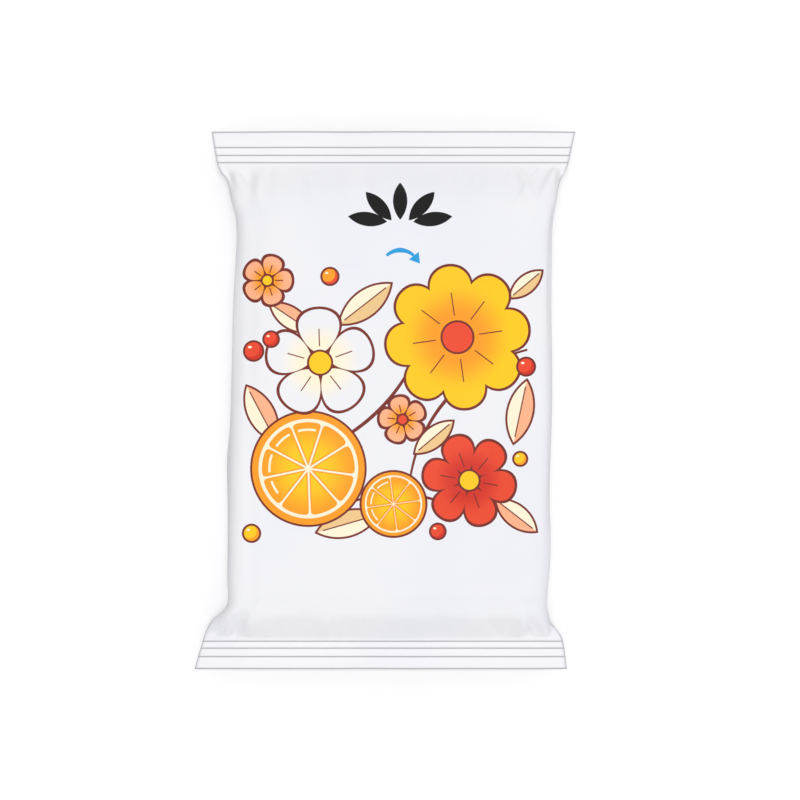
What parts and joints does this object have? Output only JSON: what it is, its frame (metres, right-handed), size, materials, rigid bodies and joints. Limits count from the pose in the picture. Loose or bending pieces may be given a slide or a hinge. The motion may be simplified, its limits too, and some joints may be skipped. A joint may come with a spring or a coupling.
{
  "type": "wet wipes pack",
  "caption": "Sealed flow-wrapped film pack of folded wet wipes, lying flat, with crimped end seals, a fin seal along the back and a reseal label on its printed front.",
  "frame": {"origin": "on the surface the pack lies on, under the middle of its outline", "axes": "+X across the pack, +Y towards its top seal, +Z out of its printed front"},
  "size_m": [0.0992, 0.14, 0.0184],
  "materials": {
    "printed_film": "white satin film with a soft sheen, printed on the front",
    "label_film": "thin glossy label film that carries the same print"
  },
  "bodies": {
    "root": {"sealed_pack": "printed_film", "reseal_label": "label_film"}
  },
  "joints": []
}
